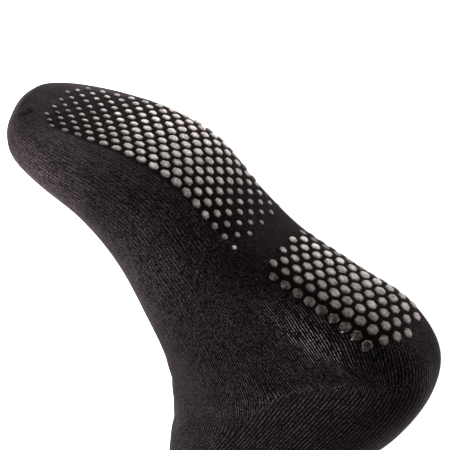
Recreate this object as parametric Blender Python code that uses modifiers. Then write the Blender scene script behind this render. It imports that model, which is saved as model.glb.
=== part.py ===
"""Grip sock: a left sock knitted in one piece, with two fields of printed anti-slip dots on its sole.

The sock lies on its outer side, as a worn-in sock with no foot in it would: toe along +X, leg along +Y,
sole towards -Y and inner side up. Its form is a row of sections from the toe tip to the collar. Each
section runs from a point on the sole or the back of the leg to a point on the instep or the shin.
Lengths are in metres.
"""
import math

import bpy
import numpy as np
from mathutils import Matrix

# Driving sizes
FOOT_LENGTH = 0.246
BALL_WIDTH = 0.091
INSTEP_HEIGHT = 0.086
WALL = 0.0018
CUFF_STEP = 0.0007
CUFF_FROM = 16.25        # place in the section table where the rib cuff begins
DOT_HEIGHT = 0.0010
WEB_HEIGHT = 0.0004      # skirt that joins the dots of one field
PRINT_GAP = 0.00045      # clearance between the print and the facets of the wall

# How the sock lies: the outer side is pressed flat where it meets the floor
LIE_PITCH = math.radians(-4.0)
LIE_ROLL = math.radians(0.5)
PRESS = 0.0014

# Fineness of the wall and of the rulers that place the print
COLUMNS = 36
RING_STEP = 0.5
FIRST_RING = 0.25
STEP_EDGE = 0.04
END_MARGIN = 0.01        # the wall's normal is read this far inside the collar
NORMAL_STEP = 1e-3
RULER_ROWS = 160
RULER_COLUMNS = 121
RULER_TURN = 0.75 * math.pi
RULER_CLOSE = 1.5        # above 1 the ruler's marks are closer together at the sole's middle
RULER_FROM = 0.02
RULER_TO = 13.0

# Sections from toe to collar. Percent of foot length: back_x, front_x. Percent of instep height:
# back_z, front_z. Percent of ball width: back_y, front_y (shift to the outer side), inner, outer
# (half widths). widest is where the section is widest, from back to front, and square its fullness.
SECTION_COLUMNS = ("back_x", "back_z", "front_x", "front_z", "back_y", "front_y",
                   "inner", "outer", "widest", "square")
SECTIONS = (
    ("toe tip", 99.5, 28.5, 99.5, 28.5, -8.0, -8.0, 0.0, 0.0, 0.45, 2.4),
    ("toe end", 98.5, 21.5, 98.5, 38.0, -8.0, -9.0, 16.5, 15.0, 0.45, 2.6),
    ("toe pads", 96.5, 19.5, 96.5, 44.5, -8.0, -10.5, 28.0, 28.0, 0.45, 2.8),
    ("toes", 92.5, 17.5, 92.5, 50.5, -7.0, -10.5, 38.0, 40.5, 0.44, 2.9),
    ("toe roots", 85.0, 12.5, 85.5, 55.0, -3.0, -8.0, 46.0, 48.5, 0.42, 2.9),
    ("ball", 75.0, 4.5, 75.0, 60.0, 0.0, -7.0, 49.0, 50.0, 0.40, 2.9),
    ("behind ball", 64.0, 0.5, 64.5, 76.0, 2.0, -6.5, 45.0, 48.0, 0.40, 2.8),
    ("waist", 52.0, 8.0, 54.5, 98.5, 3.0, -4.5, 42.0, 45.5, 0.42, 2.7),
    ("arch", 39.5, 13.5, 49.5, 112.5, 3.0, -2.0, 40.5, 42.5, 0.44, 2.8),
    ("heel front", 26.0, 12.0, 47.0, 123.5, 2.0, 0.0, 39.0, 40.5, 0.46, 3.1),
    ("heel pad", 13.0, 10.0, 44.5, 134.5, 1.0, 0.0, 36.5, 39.5, 0.48, 3.3),
    ("heel turn", 3.5, 21.0, 43.0, 142.5, 0.0, 0.0, 35.0, 38.5, 0.50, 3.1),
    ("heel back", 0.0, 44.0, 41.5, 150.0, 0.0, 0.0, 35.0, 37.0, 0.50, 2.6),
    ("above heel", 1.0, 77.0, 40.5, 157.0, 0.0, 0.0, 36.0, 37.0, 0.50, 2.1),
    ("ankle", 5.0, 111.0, 39.0, 166.0, 0.0, 0.0, 37.0, 37.0, 0.50, 2.0),
    ("lower leg", 6.5, 146.0, 37.0, 180.0, 0.0, 0.0, 38.0, 36.5, 0.50, 2.0),
    ("leg", 6.0, 187.0, 36.0, 203.0, 0.0, 0.0, 41.0, 38.5, 0.50, 2.0),
    ("collar", 4.0, 233.5, 36.0, 236.0, 0.0, 0.0, 45.0, 41.5, 0.50, 2.0),
)
FRONT_SQUARE = 2.0
LAST_SECTION = len(SECTIONS) - 1

# The two fields of dots. Rows run along the sole, half a pitch apart in turn. origin is measured
# along the sole from the toe tip, shift to the outer side; first and last count pitches from the
# origin. The other values bend the lattice on the curved sole: spread, stretch, bow and slant along
# it, narrow, pinch, fan and drift across it.
# rounding and outer_cut end the outer rows earlier, clear of the floor.
FIELDS = {
    "grip_forefoot": {
        "origin": 0.1210, "shift": 0.0039, "turn": math.radians(-0.31), "pitch": 0.00707, "across": 0.00733,
        "half_rows": 5, "first": -14.5, "last": 2.5, "side_first": -13.5, "rounding": 0.0, "outer_cut": 2.0,
        "bow": -0.0083, "fan": 0.0097, "narrow": 0.0077, "pinch": -0.00093,
        "spread": 0.0051, "slant": 0.0025, "stretch": 0.00021, "drift": -0.0038,
        "size_at": (-14.5, -12.0, -8.0, -4.0, -1.0, 2.5), "size": (0.36, 0.50, 0.70, 0.80, 0.72, 0.54),
    },
    "grip_heel": {
        "origin": 0.1870, "shift": -0.0001, "turn": math.radians(3.04), "pitch": 0.00713, "across": 0.00785,
        "half_rows": 4, "first": -4.5, "last": 5.6, "side_first": -4.5, "rounding": 0.1, "outer_cut": 0.0,
        "bow": 0.0298, "fan": 0.0213, "narrow": 0.0259, "pinch": 0.00137,
        "spread": 0.0041, "slant": -0.0169, "stretch": 0.0, "drift": -0.0018,
        "size_at": (-4.5, -2.0, 1.0, 3.5, 5.5), "size": (0.64, 0.76, 0.82, 0.78, 0.66),
    },
}
OUTER_ROW = 3            # rows past this one lie on the outer side of the foot
NEIGHBOURS = ((1, 0), (0, 1), (-1, 1), (-1, 0), (0, -1), (1, -1))

# Looks
KNIT_COLOUR = (0.020, 0.018, 0.019, 1.0)
KNIT_ROUGHNESS = 0.92
PRINT_COLOUR = (0.36, 0.34, 0.33, 1.0)
PRINT_ROUGHNESS = 0.45
SHARP_ANGLE = math.radians(40)


def section_table():
    """Section rows in metres, with the table's columns."""
    percent = np.array([row[1:] for row in SECTIONS])
    scale = [FOOT_LENGTH, INSTEP_HEIGHT, FOOT_LENGTH, INSTEP_HEIGHT] + [BALL_WIDTH] * 4
    return percent * np.array(scale + [100.0, 100.0]) / 100.0


def padded_table():
    """The table with one more row at each end, so that a curve through it is smooth at toe and collar."""
    table = section_table()
    mirrored = table[1].copy()
    mirrored[[0, 1, 2, 3]] = table[1][[2, 3, 0, 1]]
    mirrored[[6, 7]] *= -1.0
    return np.vstack([mirrored, table, 2.0 * table[-1] - table[-2]])


PADDED = padded_table()


def section_at(place):
    """Section values at fractional places in the table, on a Catmull-Rom curve through its rows."""
    place = np.clip(np.asarray(place, float), 0.0, LAST_SECTION - 1e-9)
    row = np.floor(place).astype(int)
    f = (place - row)[..., None]
    a, b, c, d = PADDED[row], PADDED[row + 1], PADDED[row + 2], PADDED[row + 3]
    cubic = 2 * b + (c - a) * f + (2 * a - 5 * b + 4 * c - d) * f ** 2 + (3 * b - a - 3 * c + d) * f ** 3
    values = 0.5 * cubic
    return {name: values[..., column] for column, name in enumerate(SECTION_COLUMNS)}


def skin(place, around):
    """Points of the outer wall on the standing foot: around is 0 on the sole and grows to the outer side."""
    s = section_at(place)
    cosine = np.cos(around)
    sine = np.sin(around)
    power = 2.0 / np.where(cosine > 0, s["square"], FRONT_SQUARE)
    reach = np.abs(cosine) ** power
    share = np.where(cosine > 0, s["widest"] * (1 - reach), s["widest"] + (1 - s["widest"]) * reach)
    width = np.where(sine > 0, s["outer"], s["inner"])
    x = s["back_x"] + (s["front_x"] - s["back_x"]) * share
    y = s["back_y"] + (s["front_y"] - s["back_y"]) * share + width * np.sign(sine) * np.abs(sine) ** power
    z = s["back_z"] + (s["front_z"] - s["back_z"]) * share
    return np.stack([x, y, z], axis=-1)


def lifted(place, around, height):
    """Points at a height above the wall, along its normal."""
    along = skin(place + NORMAL_STEP, around) - skin(place - NORMAL_STEP, around)
    across = skin(place, around + NORMAL_STEP) - skin(place, around - NORMAL_STEP)
    normal = np.cross(along, across)
    normal /= np.linalg.norm(normal, axis=-1, keepdims=True)
    return skin(place, around) + normal * np.asarray(height)[..., None]


def turn_over(points):
    """Turn points of the standing foot to the lying sock, with no floor under it yet."""
    turned = np.stack([points[..., 0], points[..., 2], -points[..., 1]], axis=-1)
    tilt = np.array(Matrix.Rotation(LIE_PITCH, 3, "Y") @ Matrix.Rotation(LIE_ROLL, 3, "X"))
    return turned @ tilt.T


def floor_height():
    """Height of the floor under the turned sock, so that it presses the wall in by PRESS."""
    place = np.arange(0.0, LAST_SECTION, 0.1)
    around = np.arange(-math.pi, math.pi, 0.05)
    wall = turn_over(skin(*np.meshgrid(place, around, indexing="ij")))
    return wall[..., 2].min() + PRESS


FLOOR = floor_height()


def lie_down(points):
    """Points of the sock as it lies, its outer side pressed flat on the floor at height 0."""
    turned = turn_over(points)
    turned[..., 2] = np.maximum(turned[..., 2] - FLOOR, 0.0)
    return turned


def ruler_angle(mark):
    """Angle around the wall at a mark of the ruler, which runs from -1 to 1 across the sole."""
    return RULER_TURN * np.sign(mark) * np.abs(mark) ** RULER_CLOSE


def print_ruler():
    """Lengths along the sole's centre line and across it, on a grid of places on the wall."""
    place = np.linspace(RULER_FROM, RULER_TO, RULER_ROWS)
    mark = np.linspace(-1.0, 1.0, RULER_COLUMNS)
    grid = skin(*np.meshgrid(place, ruler_angle(mark), indexing="ij"))
    middle = RULER_COLUMNS // 2
    along = np.concatenate([[0.0], np.cumsum(np.linalg.norm(np.diff(grid[:, middle], axis=0), axis=-1))])
    across = np.cumsum(np.linalg.norm(np.diff(grid, axis=1), axis=-1), axis=1)
    across = np.hstack([np.zeros((RULER_ROWS, 1)), across])
    return place, mark, along, across - across[:, middle:middle + 1]


RULER = print_ruler()


def place_on_sole(along, across):
    """Wall places of points of the print, given by their lengths along the sole and across it."""
    place_grid, mark_grid, along_ruler, across_ruler = RULER
    place = np.interp(along, along_ruler, place_grid)
    row = np.clip(np.interp(place, place_grid, np.arange(RULER_ROWS)), 0, RULER_ROWS - 1.001)
    lower = row.astype(int)
    share = row - lower
    mark = np.zeros_like(place)
    pick = np.arange(place.size)
    for ruler_row, weight in ((lower, 1 - share), (lower + 1, share)):
        marks = across_ruler[ruler_row]
        step = np.clip((marks < across[:, None]).sum(axis=1) - 1, 0, RULER_COLUMNS - 2)
        part = (across - marks[pick, step]) / (marks[pick, step + 1] - marks[pick, step])
        mark += weight * (mark_grid[step] + part * (mark_grid[1] - mark_grid[0]))
    return place, ruler_angle(mark)


def field_cells(field):
    """Dots of a field as (step, row): row counts across the sole, step + row / 2 pitches along it."""
    cells = []
    for row in range(-field["half_rows"], field["half_rows"] + 1):
        outermost = abs(row) == field["half_rows"]
        first = field["side_first"] if outermost else field["first"]
        last = field["last"] - field["rounding"] * row ** 2 - field["outer_cut"] * max(row - OUTER_ROW, 0)
        low = math.ceil(first - row / 2 - 1e-6)
        high = math.floor(last - row / 2 + 1e-6)
        cells += [(step, row) for step in range(low, high + 1)]
    return cells


def field_points(field, steps, rows, height):
    """Points of the print at lattice places (steps, rows) and a height above the wall, on the lying sock."""
    u = steps + rows / 2
    w = rows * math.sqrt(3) / 2
    turn = field["turn"]
    a = u * math.cos(turn) - w * math.sin(turn)
    b = u * math.sin(turn) + w * math.cos(turn)
    spacing = a + field["spread"] * a ** 2 + field["stretch"] * a ** 3
    spacing = spacing + field["bow"] * b ** 2 + field["slant"] * a * b
    along = field["origin"] + field["pitch"] * spacing
    width = b * (1 + field["narrow"] * a + field["pinch"] * a ** 2)
    width = width + field["fan"] * b ** 2 + field["drift"] * a ** 2
    across = field["shift"] + field["across"] * width
    place, around = place_on_sole(along, across)
    return lie_down(lifted(place, around, height))


def wall_mesh():
    """Vertices and faces of the sock's outer wall: rings of the sections, closed at the toe tip."""
    rings = np.concatenate([[FIRST_RING], np.arange(RING_STEP, LAST_SECTION + 1e-6, RING_STEP)])
    rings = np.sort(np.append(rings, [CUFF_FROM - STEP_EDGE, CUFF_FROM + STEP_EDGE]))
    turns = np.arange(COLUMNS) * 2 * math.pi / COLUMNS
    place, around = np.meshgrid(rings, turns, indexing="ij")
    points = skin(place, around)
    cuff = rings > CUFF_FROM
    inside_end = np.minimum(place[cuff], LAST_SECTION - END_MARGIN)
    points[cuff] = lifted(inside_end, around[cuff], CUFF_STEP * np.ones_like(inside_end))
    tip = skin(np.array([0.0]), np.array([0.0]))
    vertices = lie_down(np.vstack([tip, points.reshape(-1, 3)]))
    faces = [(0, 1 + k, 1 + (k + 1) % COLUMNS) for k in range(COLUMNS)]
    for ring in range(len(rings) - 1):
        start = 1 + ring * COLUMNS
        for k in range(COLUMNS):
            after = (k + 1) % COLUMNS
            faces.append((start + k, start + COLUMNS + k, start + COLUMNS + after, start + after))
    return vertices, faces


def print_mesh(field):
    """Vertices and faces of one field: hexagonal dots whose skirts run out to their neighbours' skirts."""
    cells = field_cells(field)
    corners = {}
    cell_corners = []
    for step, row in cells:
        ring = []
        for k in range(6):
            (i1, j1), (i2, j2) = NEIGHBOURS[k], NEIGHBOURS[(k + 1) % 6]
            key = (3 * step + i1 + i2, 3 * row + j1 + j2)
            ring.append(corners.setdefault(key, len(corners)))
        cell_corners.append(ring)
    corner = np.array(list(corners)) / 3.0
    centre = np.array(cells, float)
    size = np.interp(centre[:, 0] + centre[:, 1] / 2, field["size_at"], field["size"])
    rim = corner[np.array(cell_corners)]
    top = centre[:, None, :] + (rim - centre[:, None, :]) * size[:, None, None]
    top = top.reshape(-1, 2)
    count = len(corner)
    below = field_points(field, corner[:, 0], corner[:, 1], np.full(count, PRINT_GAP))
    web = field_points(field, corner[:, 0], corner[:, 1], np.full(count, PRINT_GAP + WEB_HEIGHT))
    dots = field_points(field, top[:, 0], top[:, 1], np.full(len(top), PRINT_GAP + DOT_HEIGHT))
    hubs = field_points(field, centre[:, 0], centre[:, 1], np.full(len(centre), PRINT_GAP))
    first_hub = 2 * count + len(top)
    faces = []
    edges = {}
    for cell, ring in enumerate(cell_corners):
        start = 2 * count + 6 * cell
        faces += [(start, start + k, start + k + 1) for k in range(1, 5)]
        for k in range(6):
            after = (k + 1) % 6
            faces.append((count + ring[k], count + ring[after], start + after, start + k))
            faces.append((first_hub + cell, ring[after], ring[k]))
            edges[(ring[k], ring[after])] = True
    for a, b in edges:
        if (b, a) not in edges:
            faces.append((a, b, count + b, count + a))
    return np.vstack([below, web, dots, hubs]), faces


def material(name, colour, roughness):
    """A Principled material of one colour."""
    made = bpy.data.materials.new(name)
    made.use_nodes = True
    made.diffuse_color = colour
    shader = made.node_tree.nodes["Principled BSDF"]
    shader.inputs["Base Color"].default_value = colour
    shader.inputs["Roughness"].default_value = roughness
    shader.inputs["Metallic"].default_value = 0.0
    return made


def add_piece(name, vertices, faces, look, collection):
    """A named object from arrays, shaded smooth with sharp edges kept."""
    mesh = bpy.data.meshes.new(name)
    mesh.from_pydata([tuple(v) for v in vertices], [], faces)
    mesh.shade_smooth()
    mesh.set_sharp_from_angle(angle=SHARP_ANGLE)
    mesh.materials.append(look)
    piece = bpy.data.objects.new(name, mesh)
    collection.objects.link(piece)
    return piece


def main():
    for old in list(bpy.data.objects):
        bpy.data.objects.remove(old)
    collection = bpy.data.collections.new("grip_sock")
    bpy.context.scene.collection.children.link(collection)
    knit = material("black_knit", KNIT_COLOUR, KNIT_ROUGHNESS)
    silicone = material("grey_silicone", PRINT_COLOUR, PRINT_ROUGHNESS)

    shapes = {"sock_body": wall_mesh()}
    for name, field in FIELDS.items():
        shapes[name] = print_mesh(field)
    everything = np.vstack([vertices for vertices, faces in shapes.values()])
    middle = (everything.min(axis=0) + everything.max(axis=0)) / 2
    middle[2] = 0.0

    for name, (vertices, faces) in shapes.items():
        look = knit if name == "sock_body" else silicone
        piece = add_piece(name, vertices - middle, faces, look, collection)
        if name == "sock_body":
            wall = piece.modifiers.new("wall", "SOLIDIFY")
            wall.thickness = WALL
            wall.offset = -1.0
            wall.use_quality_normals = True


main()
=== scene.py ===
"""Looks of the grip sock: its knit with heel gore, toe seam and rib cuff, and the printed silicone dots.

Every piece is a surface worked out with numpy from the sock's own sections, in metres. On the standing
foot x runs to the toes, y to the outer side and z up. The sock is then laid on its outer side.
"""
import math

import bpy
import numpy as np
from mathutils import Matrix, Vector


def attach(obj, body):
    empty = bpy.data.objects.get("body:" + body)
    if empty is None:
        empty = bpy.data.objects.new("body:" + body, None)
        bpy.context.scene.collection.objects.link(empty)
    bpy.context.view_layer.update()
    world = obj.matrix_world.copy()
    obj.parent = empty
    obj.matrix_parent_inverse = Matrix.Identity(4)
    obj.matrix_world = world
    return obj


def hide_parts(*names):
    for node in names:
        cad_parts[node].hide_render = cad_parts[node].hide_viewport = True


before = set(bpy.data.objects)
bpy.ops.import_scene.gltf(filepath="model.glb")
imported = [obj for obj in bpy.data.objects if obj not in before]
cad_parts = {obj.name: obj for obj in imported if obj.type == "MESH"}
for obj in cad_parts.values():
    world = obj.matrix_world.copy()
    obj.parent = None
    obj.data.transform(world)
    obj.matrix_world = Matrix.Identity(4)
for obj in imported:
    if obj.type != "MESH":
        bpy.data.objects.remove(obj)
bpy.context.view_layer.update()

# Sizes of the sock
FOOT_LENGTH = 0.246
BALL_WIDTH = 0.091
INSTEP_HEIGHT = 0.086
WALL = 0.0018
CUFF_STEP = 0.0007
CUFF_FROM = 16.25
CUFF_EDGE = 0.10
RIB_DEPTH = 0.00045
RIBS = 48

# How it lies, and the middle of its box on the floor
LIE_PITCH = math.radians(-4.0)
LIE_ROLL = math.radians(0.5)
PRESS = 0.0014
MIDDLE_X = 0.12183
MIDDLE_Y = 0.10081

# Sections from toe to collar. Percent of foot length: back_x, front_x. Percent of instep height:
# back_z, front_z. Percent of ball width: back_y, front_y, inner, outer. widest and square shape them.
SECTION_COLUMNS = ("back_x", "back_z", "front_x", "front_z", "back_y", "front_y",
                   "inner", "outer", "widest", "square")
SECTIONS = (
    ("toe tip", 99.5, 28.5, 99.5, 28.5, -8.0, -8.0, 0.0, 0.0, 0.45, 2.4),
    ("toe end", 98.5, 21.5, 98.5, 38.0, -8.0, -9.0, 16.5, 15.0, 0.45, 2.6),
    ("toe pads", 96.5, 19.5, 96.5, 44.5, -8.0, -10.5, 28.0, 28.0, 0.45, 2.8),
    ("toes", 92.5, 17.5, 92.5, 50.5, -7.0, -10.5, 38.0, 40.5, 0.44, 2.9),
    ("toe roots", 85.0, 12.5, 85.5, 55.0, -3.0, -8.0, 46.0, 48.5, 0.42, 2.9),
    ("ball", 75.0, 4.5, 75.0, 60.0, 0.0, -7.0, 49.0, 50.0, 0.40, 2.9),
    ("behind ball", 64.0, 0.5, 64.5, 76.0, 2.0, -6.5, 45.0, 48.0, 0.40, 2.8),
    ("waist", 52.0, 8.0, 54.5, 98.5, 3.0, -4.5, 42.0, 45.5, 0.42, 2.7),
    ("arch", 39.5, 13.5, 49.5, 112.5, 3.0, -2.0, 40.5, 42.5, 0.44, 2.8),
    ("heel front", 26.0, 12.0, 47.0, 123.5, 2.0, 0.0, 39.0, 40.5, 0.46, 3.1),
    ("heel pad", 13.0, 10.0, 44.5, 134.5, 1.0, 0.0, 36.5, 39.5, 0.48, 3.3),
    ("heel turn", 3.5, 21.0, 43.0, 142.5, 0.0, 0.0, 35.0, 38.5, 0.50, 3.1),
    ("heel back", 0.0, 44.0, 41.5, 150.0, 0.0, 0.0, 35.0, 37.0, 0.50, 2.6),
    ("above heel", 1.0, 77.0, 40.5, 157.0, 0.0, 0.0, 36.0, 37.0, 0.50, 2.1),
    ("ankle", 5.0, 111.0, 39.0, 166.0, 0.0, 0.0, 37.0, 37.0, 0.50, 2.0),
    ("lower leg", 6.5, 146.0, 37.0, 180.0, 0.0, 0.0, 38.0, 36.5, 0.50, 2.0),
    ("leg", 6.0, 187.0, 36.0, 203.0, 0.0, 0.0, 41.0, 38.5, 0.50, 2.0),
    ("collar", 4.0, 233.5, 36.0, 236.0, 0.0, 0.0, 45.0, 41.5, 0.50, 2.0),
)
FRONT_SQUARE = 2.0
LAST_SECTION = len(SECTIONS) - 1

# The two fields of dots: rows along the sole, half a pitch apart in turn. origin to drift place the lattice.
# size, milky and flat are read by pitches along (_at) or by row (_rows); milky is partly print thickness and
# partly painted light and shade. beads are small drops of print; the pale ones stand for glints as painted
# highlights.
FIELDS = {
    "grip_forefoot": {
        "origin": 0.1210, "shift": 0.0039, "turn": math.radians(-0.31), "pitch": 0.00707, "across": 0.00733,
        "half_rows": 5, "first": -14.5, "last": 2.5, "side_first": -13.5, "rounding": 0.0, "outer_cut": 2.0,
        "bow": -0.0083, "fan": 0.0097, "narrow": 0.0077, "pinch": -0.00093,
        "spread": 0.0051, "slant": 0.0025, "stretch": 0.00021, "drift": -0.0038,
        "size_at": (-14.5, -12.0, -8.0, -4.0, -1.0, 0.5, 2.5),
        "size": (0.36, 0.50, 0.70, 0.80, 0.68, 0.54, 0.40),
        "milky_and_shade_at": (-14.5, -12.0, -10.0, -8.0, -6.0, -4.0, -2.0, 0.0, 2.5),
        "milky_and_shade": (0.54, 0.65, 0.86, 1.0, 0.88, 0.63, 0.58, 0.49, 0.37),
        "milky_and_shade_rows": (-5, -4, -3, -2, -1, 0, 1, 2, 4, 5),
        "milky_and_shade_row": (0.47, 0.53, 0.57, 0.61, 0.61, 0.70, 0.79, 0.92, 1.02, 0.92),
        "size_rows": (-5, -3, 1, 5), "size_row": (1.11, 1.06, 1.0, 0.90),
        "flat_rows": (-5, 5), "flat_row": (1.0, 1.0), "left_out": (5, -5), "edge_out": 1.0,
        "beads_and_glints": ((2.5, -5.0, 0.17, 0.9, 0.0005), (-6.62, -4.86, 0.06, 0.0, 0.0012)),
    },
    "grip_heel": {
        "origin": 0.1870, "shift": -0.0001, "turn": math.radians(3.04), "pitch": 0.00713, "across": 0.00785,
        "half_rows": 4, "first": -4.5, "last": 5.6, "side_first": -4.5, "rounding": 0.1, "outer_cut": 0.0,
        "bow": 0.0298, "fan": 0.0213, "narrow": 0.0259, "pinch": 0.00137,
        "spread": 0.0041, "slant": -0.0169, "stretch": 0.0, "drift": -0.0018,
        "size_at": (-4.5, -2.0, 1.0, 3.5, 5.5), "size": (0.64, 0.76, 0.82, 0.78, 0.66),
        "milky_and_shade_at": (-4.5, -2.0, 0.0, 2.0, 4.0, 5.5), "milky_and_shade": (1.12, 1.05, 0.95, 0.77, 0.68, 0.76),
        "size_rows": (-4, -3, 1, 4), "size_row": (1.14, 1.08, 1.05, 1.0),
        "milky_and_shade_rows": (-4, -3, -2, -1, 0, 1, 2, 3, 4),
        "milky_and_shade_row": (0.04, 0.20, 0.285, 0.345, 0.38, 0.53, 0.70, 0.2, 0.1),
        "flat_rows": (-4, 2, 3, 4), "flat_row": (1.0, 1.0, 0.45, 0.45), "edge_out": 1.045,
        "beads_and_glints": ((-1.05, -4.58, 0.06, 0.9, 0.0004), (1.05, -4.62, 0.05, 0.6, 0.0004),
                  (2.1, -4.68, 0.08, 1.0, 0.0004), (2.95, -4.68, 0.07, 1.0, 0.0004),
                  (4.1, -4.60, 0.05, 0.8, 0.0004), (0.05, -4.55, 0.04, 0.6, 0.0004)),
    },
}
OUTER_ROW = 3
DOT_HEIGHT = 0.0009
DOT_REACH = {"grip_forefoot": 0.48, "grip_heel": 0.467}
# Painted shade on the knit between the dots: how far it reaches, and the dot size its distances are scaled by
GAP_SHADE_REACH = 0.0049
GAP_SHADE_SIZE = 0.80
DOT_SIDES = 12
DOT_OUTLINE = (0.94, 1.06)
LOW_DOT = 0.65
TALL_DOT = 0.5
FULL_SIZE = 0.42
TOP_SHARE = 0.96
DOT_PROFILE = (("crown", 0.38, 0.95), ("shoulder", 0.74, 0.76), ("rim", 0.95, 0.34), ("foot", 1.02, -0.4))

# How much the dots vary from one another
VARY_SIZE = 0.03
VARY_MILKY = 0.10
VARY_HEIGHT = 0.06
VARY_CORNER = 0.025
VARY_RING = 0.05
FIRST_SEED = 11

# The ruler that places the print, and the fineness of the wall
RULER_TURN = 0.75 * math.pi
RULER_CLOSE = 1.5
RULER_FROM = 0.02
RULER_TO = 13.0
RULER_ROWS = 160
RULER_COLUMNS = 121
WALES = 264
COLUMNS = 288
ROWS = 264
TOE_ROWS_TO = 3.4
INSIDE_EVERY = 6
ROW_GUESS = 600
COURSE = 0.00100

# The heel gore: where the foot's wales meet the leg's in a chevron, by share of the half girth
GORE_SHARES = (0.375, 0.43, 0.50, 0.57, 0.66, 0.80, 1.0)
GORE_PLACES = (11.6, 11.0, 10.64, 10.59, 10.69, 10.95, 11.41)
TURN_PLACE = 10.24
TURN_SHARE = 0.486
TURN_SLOPE = 2.27
SLOW_AT = (-4.0, -3.0, -2.0, -1.2, -0.6, 0.0, 1.0, 2.0)
SLOW_SHIFT = (0.0, 0.008, 0.035, 0.074, 0.102, 0.122, 0.142, 0.15)
FOOT_DIP = 0.040
LEG_TURN = 0.11
LEG_TURN_REACH = 2.3

# Bands of share in which they act: rising between the first two, falling between the last two
SLOW_BAND = (0.05, 0.35, 0.72, 1.25)
DIP_BAND = (0.40, 0.60, 0.70, 0.86)
LEG_BAND = (0.26, 0.58, 0.70, 0.95)
GORE_BAND = (0.42, 0.50, 0.74, 0.84)

# Where the knit is stretched thin: by the heel print, at a place and share, and along the gore
PULL_AT = (9.4, 0.725)
PULL_SIZE = (0.62, 0.055)
GORE_PULL = 0.35
GORE_WIDTH = 0.10

# How pale the knit is painted by place from toe to collar: partly rubbed nap, partly painted light at the toe
# and ball and painted shade towards the heel and leg
NAP_AND_LIGHT_PLACES = (0.0, 2.0, 2.8, 3.7, 5.0, 6.3, 7.2, 7.8, 9.0, 10.5, 11.1, 11.6, 17.0)
NAP_AND_LIGHT = (0.8, 1.1, 1.3, 2.4, 1.25, 1.27, 0.95, 0.72, 0.66, 0.62, 0.85, 0.58, 0.58)

# How much darker the knit is painted under the foot, between two shares, at the heel, and in the grooves of
# the rib: painted shade
UNDER_SHADE_SHARES = (0.58, 0.80)
HEEL_PLACES = (10.0, 11.0)
HEEL_SHARES = (0.82, 0.92)
HEEL_SHADE = 0.45
RIB_SHADE = 0.55
UNDER_SHADE_PLACES = (2.0, 4.5, 7.0, 8.0, 9.5, 10.8, 11.3)
UNDER_SHADE = (0.30, 0.60, 0.60, 0.55, 0.25, 0.25, 0.0)

# How far the wales read in pairs, how strong the grain is, and how clear the lines, by place
PAIR_PLACES = (0.0, 4.0, 5.0, 6.0, 7.0, 7.8, 17.0)
PAIRED = (0.75, 0.75, 0.60, 0.55, 0.6, 0.0, 0.0)
GRAIN_PLACES = (2.0, 4.5, 6.5)
GRAIN = (0.62, 0.70, 1.0)
LINE_PLACES = (0.0, 4.0, 6.0, 7.5, 9.0, 17.0)
LINES = (0.58, 0.58, 0.88, 1.0, 1.1, 0.95)

NOTCH_DEPTH = 0.0006

# Creases on the inner side: a line of (place, share) marks, depth and half width. A ridge is negative.
CREASES = (
    ("toe notch", ((2.17, 0.66), (2.27, 0.70), (2.38, 0.75)), NOTCH_DEPTH, 0.0008),
    ("toe notch lip", ((1.95, 0.66), (2.10, 0.72), (2.22, 0.79)), -0.0004, 0.0018),
    ("pull by the heel print", ((8.60, 0.72), (9.40, 0.735), (10.2, 0.75)), -0.0010, 0.0060),
    ("hollow before the gore", ((8.90, 0.60), (9.70, 0.64), (10.5, 0.69)), 0.0008, 0.0060),
    ("gore ridge", ((10.99, 0.431), (10.64, 0.50), (10.59, 0.569), (10.69, 0.66), (10.84, 0.77)),
     -0.0005, 0.0024),
    ("first bend fold", ((9.30, 0.00), (9.38, 0.04), (9.45, 0.07)), 0.0007, 0.0050),
    ("second bend fold", ((10.9, 0.00), (10.95, 0.04), (11.0, 0.07)), 0.0006, 0.0050),
    ("third bend fold", ((12.3, 0.00), (12.26, 0.04), (12.2, 0.08)), 0.0006, 0.0050),
)

# Camera, at the photograph's angle to the sock
CAMERA_AZIMUTH = math.radians(-105.93)
CAMERA_ELEVATION = math.radians(54.81)
CAMERA_ROLL = math.radians(129.68)
CAMERA_DISTANCE = 1.8985
CAMERA_AIM = (0.00907, -0.06817, 0.02509)
CAMERA_LENS = 310.76
SENSOR = 36.0

# Soft lights: place, target, width, height and power
LIGHTS = (
    ("sole_light", (-0.25, -1.2, 0.11), (0.0, -0.08, 0.04), 1.4, 0.2, 7.0),
    ("instep_light", (0.20, 0.95, 0.68), (0.0, -0.03, 0.05), 0.9, 0.6, 6.5),
    ("toe_light", (0.42, 0.18, 0.40), (0.08, -0.05, 0.06), 0.3, 0.3, 7.0),
)
SURROUNDINGS = 0.08

# The floor: a disc just under the sock
FLOOR_RADIUS = 3.0
FLOOR_INNER = 0.3
FLOOR_DROP = 0.0002
FLOOR_SIDES = 48
FLOOR_GLOW = 1.05

# Knit shading: slant of a stitch's legs in courses, middles that grain and lines spread from
LEG_SLANT = 0.45
SPECK_MIDDLE = 1.2
YARN_MIDDLE = 0.4
YARN_SHARE = 0.18

# Colours
GROOVE_BLACK = (0.0010, 0.0006, 0.0009, 1.0)
YARN_PALE = (0.230, 0.178, 0.198, 1.0)
# Near black of the painted shade on the knit between the dots
GAP_SHADE_BLACK = (0.0028, 0.0011, 0.0009, 1.0)
STRETCHED_PALE = (0.34, 0.27, 0.26, 1.0)
# Near black of the painted shade in the toe notch's crease
NOTCH_SHADE_BLACK = (0.0008, 0.0006, 0.0007, 1.0)
PRINT_DARK = (0.005, 0.0035, 0.003, 1.0)
PRINT_GREY = (0.76, 0.68, 0.635, 1.0)
SHEEN = (0.80, 0.69, 0.76, 1.0)


def smooth_step(x, low, high):
    """0 below low, 1 above high, and the cubic 3t^2 - 2t^3 between them."""
    t = np.clip((x - low) / (high - low), 0.0, 1.0)
    return t * t * (3 - 2 * t)


def band(x, marks):
    """1 in a band and 0 off it: a smooth rise between the first two marks and a fall between the last two."""
    return smooth_step(x, marks[0], marks[1]) * (1 - smooth_step(x, marks[2], marks[3]))


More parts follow.
